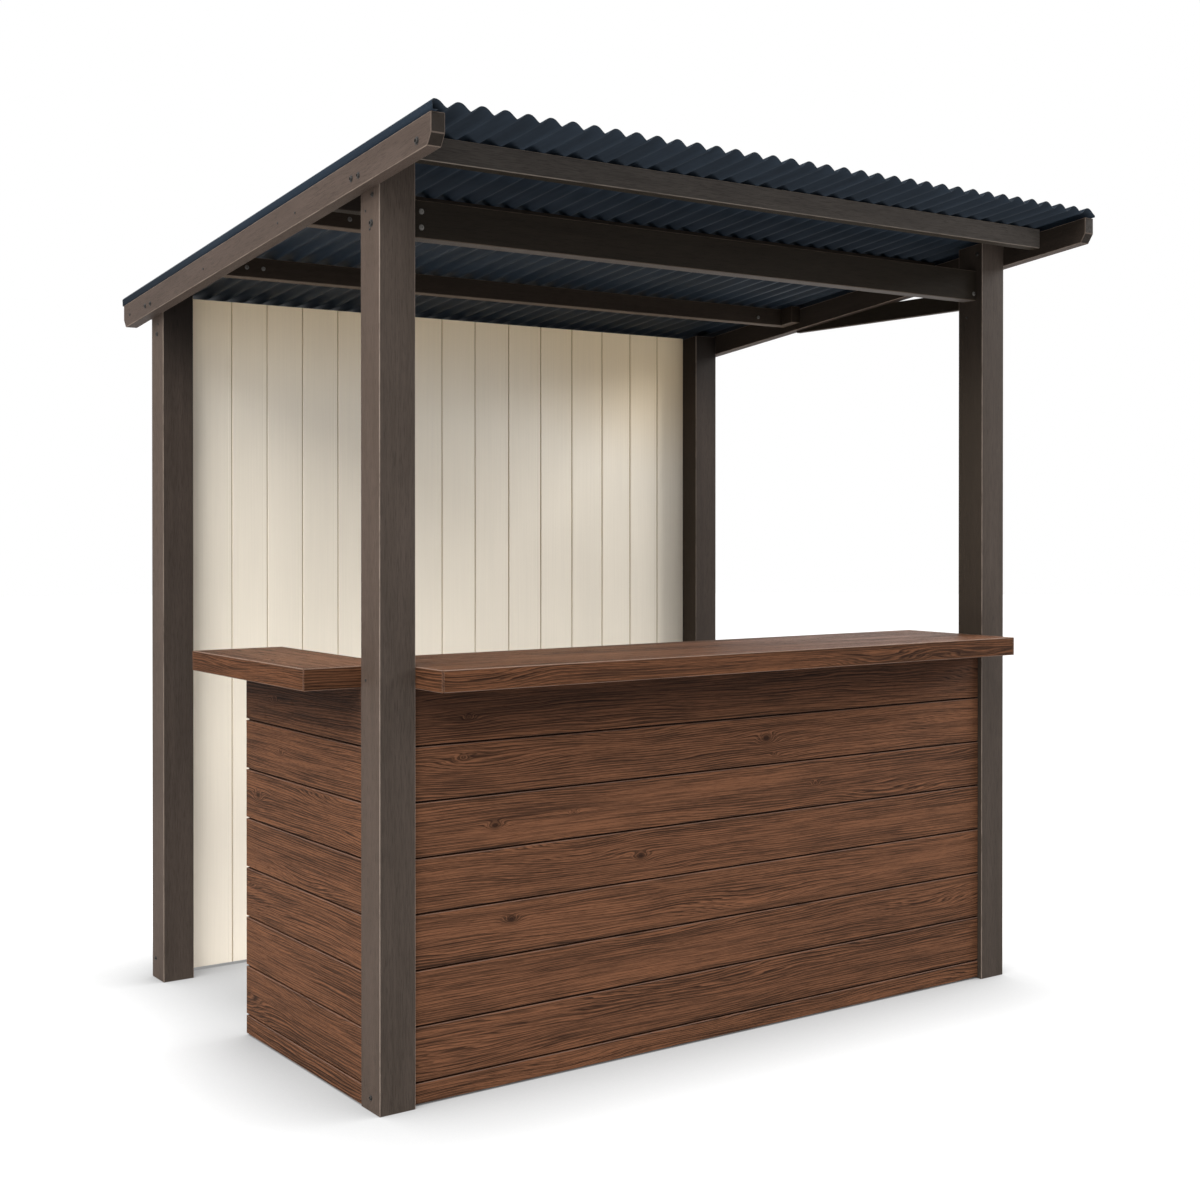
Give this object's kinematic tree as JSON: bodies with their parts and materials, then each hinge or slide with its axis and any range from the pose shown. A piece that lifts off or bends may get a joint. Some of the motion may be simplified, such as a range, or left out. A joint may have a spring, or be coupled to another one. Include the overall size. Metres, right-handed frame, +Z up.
{
  "type": "kiosk",
  "caption": "Open timber kiosk with a lean-to corrugated roof, a boarded back wall and an L-shaped counter with walnut boards.",
  "frame": {"origin": "on the floor, under the middle of the box that holds the whole kiosk", "axes": "+X to the right seen from the front counter, +Y to the back wall, +Z up"},
  "size_m": [2.443, 2.0611, 2.422],
  "materials": {
    "stained_timber": "satin dark stain",
    "frame_timber": "matt dark stain",
    "walnut_boards": "satin oil",
    "cream_boards": "satin paint",
    "roof_metal": "satin paint",
    "fixings": "dull zinc"
  },
  "bodies": {
    "root": {"post_front_left": "stained_timber", "post_front_right": "stained_timber", "post_back_left": "stained_timber", "post_back_right": "stained_timber", "rafter_left": "stained_timber", "rafter_right": "stained_timber", "purlin_front": "stained_timber", "purlin_second": "stained_timber", "purlin_upper": "stained_timber", "purlin_lower": "stained_timber", "purlin_back": "stained_timber", "purlin_block": "stained_timber", "header_front": "stained_timber", "side_tie_right": "stained_timber", "roof_sheet": "roof_metal", "roof_edge_left": "roof_metal", "roof_edge_right": "roof_metal", "back_wall": "cream_boards", "wall_rail_bottom": "frame_timber", "wall_rail_middle": "frame_timber", "wall_rail_top": "frame_timber", "front_boards": "walnut_boards", "side_boards": "walnut_boards", "front_top": "walnut_boards", "side_top": "walnut_boards", "front_rail_top": "frame_timber", "front_rail_bottom": "frame_timber", "side_rail_top": "frame_timber", "side_rail_bottom": "frame_timber", "front_studs": "frame_timber", "side_studs": "frame_timber", "counter_brackets": "frame_timber"}
  },
  "joints": []
}
